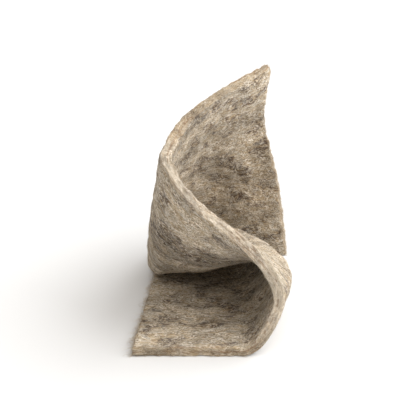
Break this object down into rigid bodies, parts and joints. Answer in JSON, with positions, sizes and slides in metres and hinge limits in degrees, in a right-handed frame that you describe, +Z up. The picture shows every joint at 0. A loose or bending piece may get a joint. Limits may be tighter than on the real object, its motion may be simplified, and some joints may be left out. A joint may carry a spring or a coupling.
{
  "type": "rolled strip of felt",
  "caption": "Thick strip of natural grey wool felt, rolled in an S: one end lies flat, the slope twists across and the other end stands upright.",
  "frame": {"origin": "middle of the bounding box's footprint, on the surface that the strip rests on", "axes": "+Z up, +X from the flat end towards the first curl, +Y from the strip's front edge towards its back edge on the flat panel"},
  "size_m": [0.0768, 0.1152, 0.104],
  "materials": {
    "wool_felt": "matt, heathered natural grey-brown wool with short loose fibres"
  },
  "bodies": {
    "root": {"felt_strip": "wool_felt"}
  },
  "joints": []
}
